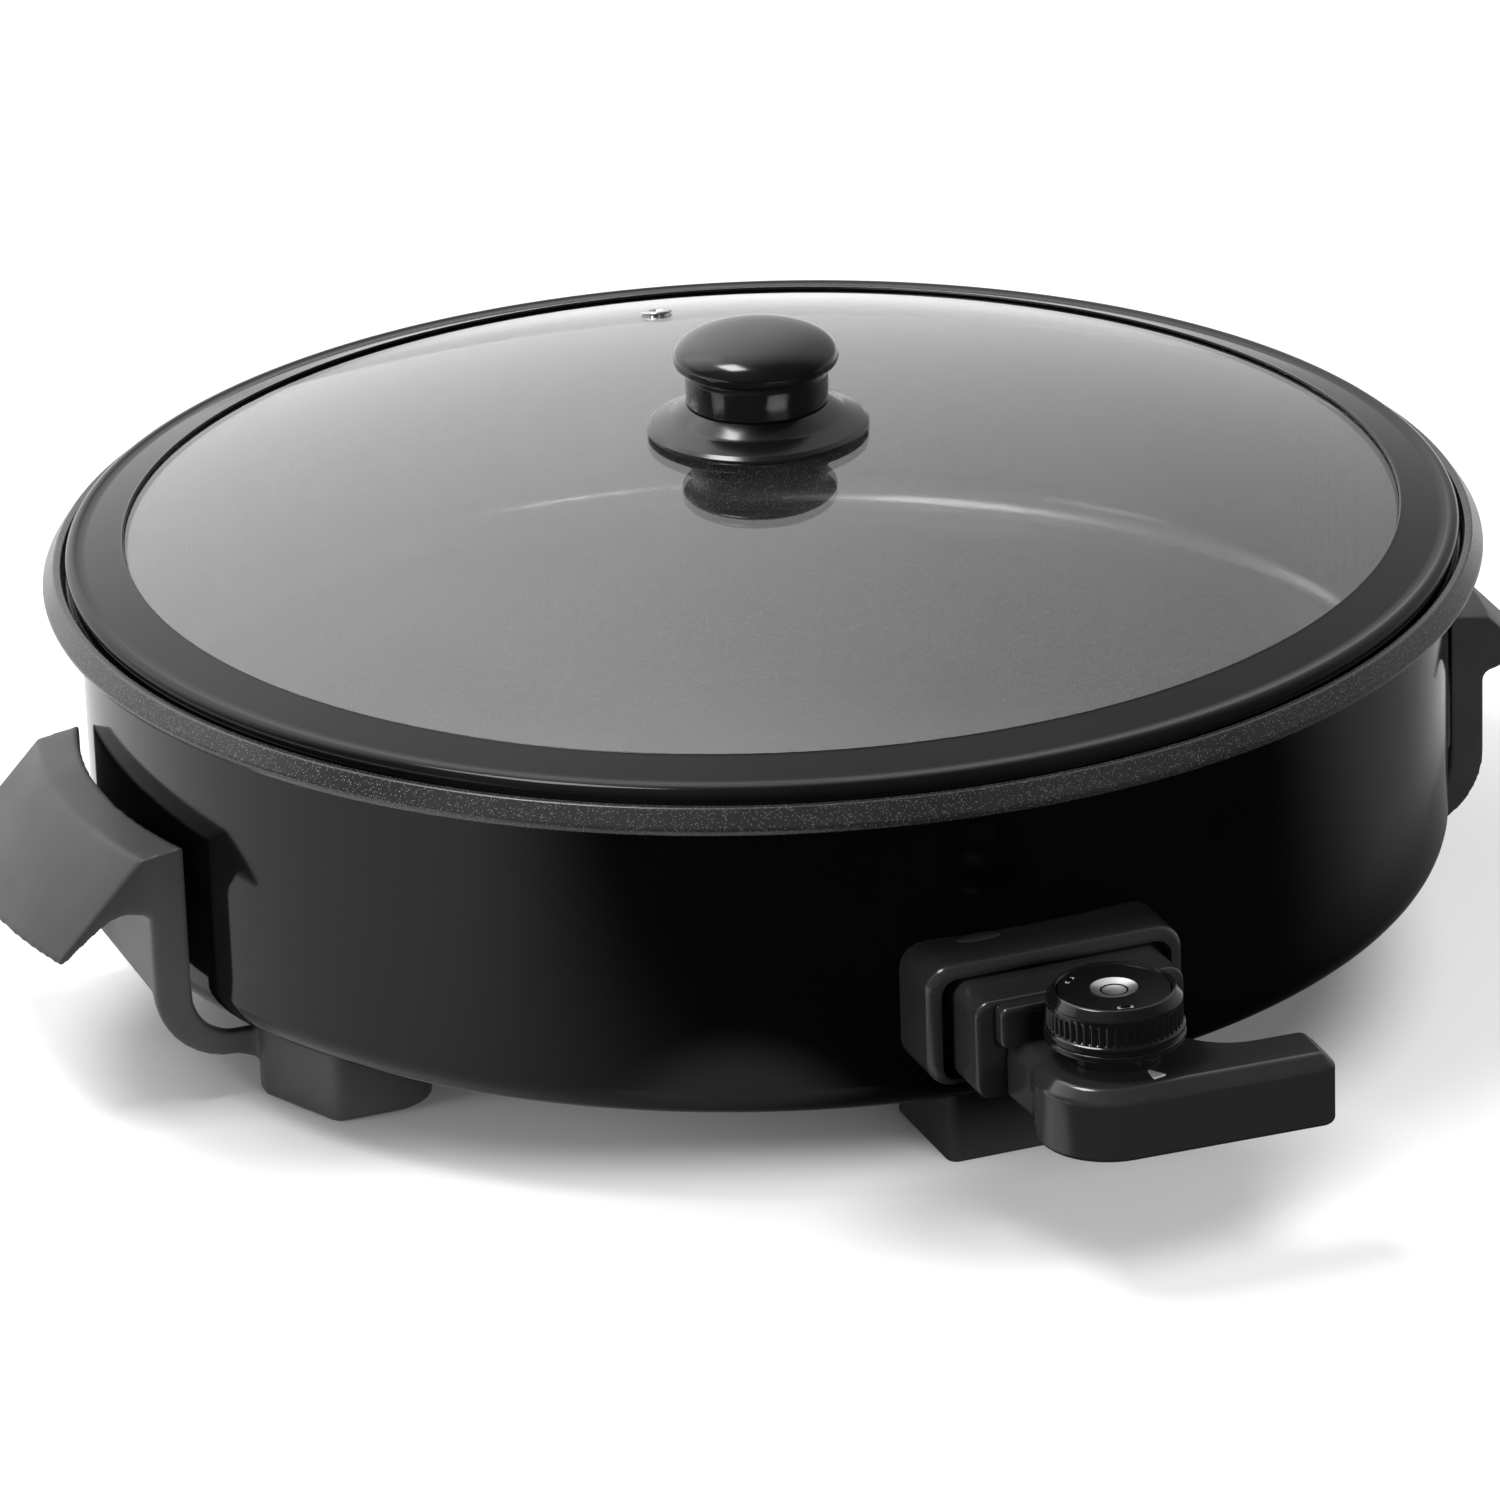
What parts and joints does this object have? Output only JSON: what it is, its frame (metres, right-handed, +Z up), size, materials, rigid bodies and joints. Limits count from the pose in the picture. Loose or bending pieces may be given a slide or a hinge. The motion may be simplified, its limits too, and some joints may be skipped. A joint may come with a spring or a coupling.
{
  "type": "electric skillet",
  "caption": "Round countertop electric skillet with lift-off glass lid, handle brackets that serve as feet, and plug-in dial temperature controller.",
  "frame": {"origin": "the middle of the bounding box in plan, at the height of the surface that the feet stand on", "axes": "+Z up, the controller points along -Y, the two handles lie along X"},
  "size_m": [0.484, 0.493, 0.1857],
  "materials": {
    "non_stick": "satin black non-stick coating with fine light speckles",
    "gloss_enamel": "high-gloss black enamel",
    "bakelite": "satin charcoal moulded phenolic",
    "gloss_plastic": "glossy black moulded plastic",
    "lid_glass": "clear tempered glass",
    "band_coating": "satin dark grey coated band",
    "steel": "bright plated steel",
    "rubber": "matt black rubber",
    "lamp_lens": "pale translucent lens"
  },
  "bodies": {
    "cooker": {"inner_pan": "non_stick", "outer_housing": "gloss_enamel", "heating_element": "steel", "line_pin_left": "steel", "line_pin_right": "steel", "earth_pin": "steel", "probe_pocket": "steel", "socket_guard": "gloss_plastic", "guard_screw_left": "steel", "guard_screw_right": "steel", "right_handle_bracket": "bakelite", "left_handle_bracket": "bakelite", "front_foot": "bakelite", "foot_screw_1": "steel", "foot_screw_2": "steel", "foot_screw_3": "steel", "foot_screw_4": "steel", "foot_screw_5": "steel", "foot_screw_6": "steel", "foot_nut_1": "steel", "foot_nut_2": "steel", "foot_nut_3": "steel", "foot_nut_4": "steel", "foot_nut_5": "steel", "foot_nut_6": "steel"},
    "lid": {"lid_glass": "lid_glass", "lid_band": "band_coating", "vent_eyelet": "steel", "knob_skirt": "gloss_plastic", "knob_cap": "gloss_plastic", "knob_screw": "steel", "knob_washer": "rubber"},
    "controller": {"plug_block": "gloss_plastic", "contact_sleeve_left": "steel", "contact_sleeve_right": "steel", "earth_sleeve": "steel", "probe_rod": "steel", "controller_housing": "gloss_plastic", "controller_cover": "gloss_plastic", "cover_screw_1": "steel", "cover_screw_2": "steel", "cord_inlet": "rubber", "pilot_pointer": "lamp_lens", "dial_collar": "gloss_plastic"},
    "dial": {"dial_skirt": "gloss_plastic", "dial_disc": "gloss_plastic", "dial_spot": "steel", "dial_shaft": "steel"}
  },
  "joints": [
    {"name": "lid_lift", "type": "slide", "parent": "cooker", "child": "lid", "axis": [0, 0, 1], "range_m": [0, 0.15]},
    {"name": "controller_unplug", "type": "slide", "parent": "cooker", "child": "controller", "axis": [0, -1, 0], "range_m": [0, 0.085]},
    {"name": "dial_turn", "type": "hinge", "parent": "controller", "child": "dial", "pos_m": [0.0004, -0.2195, 0.0673], "axis": [0, 0, -1], "range_deg": [0, 300]}
  ]
}
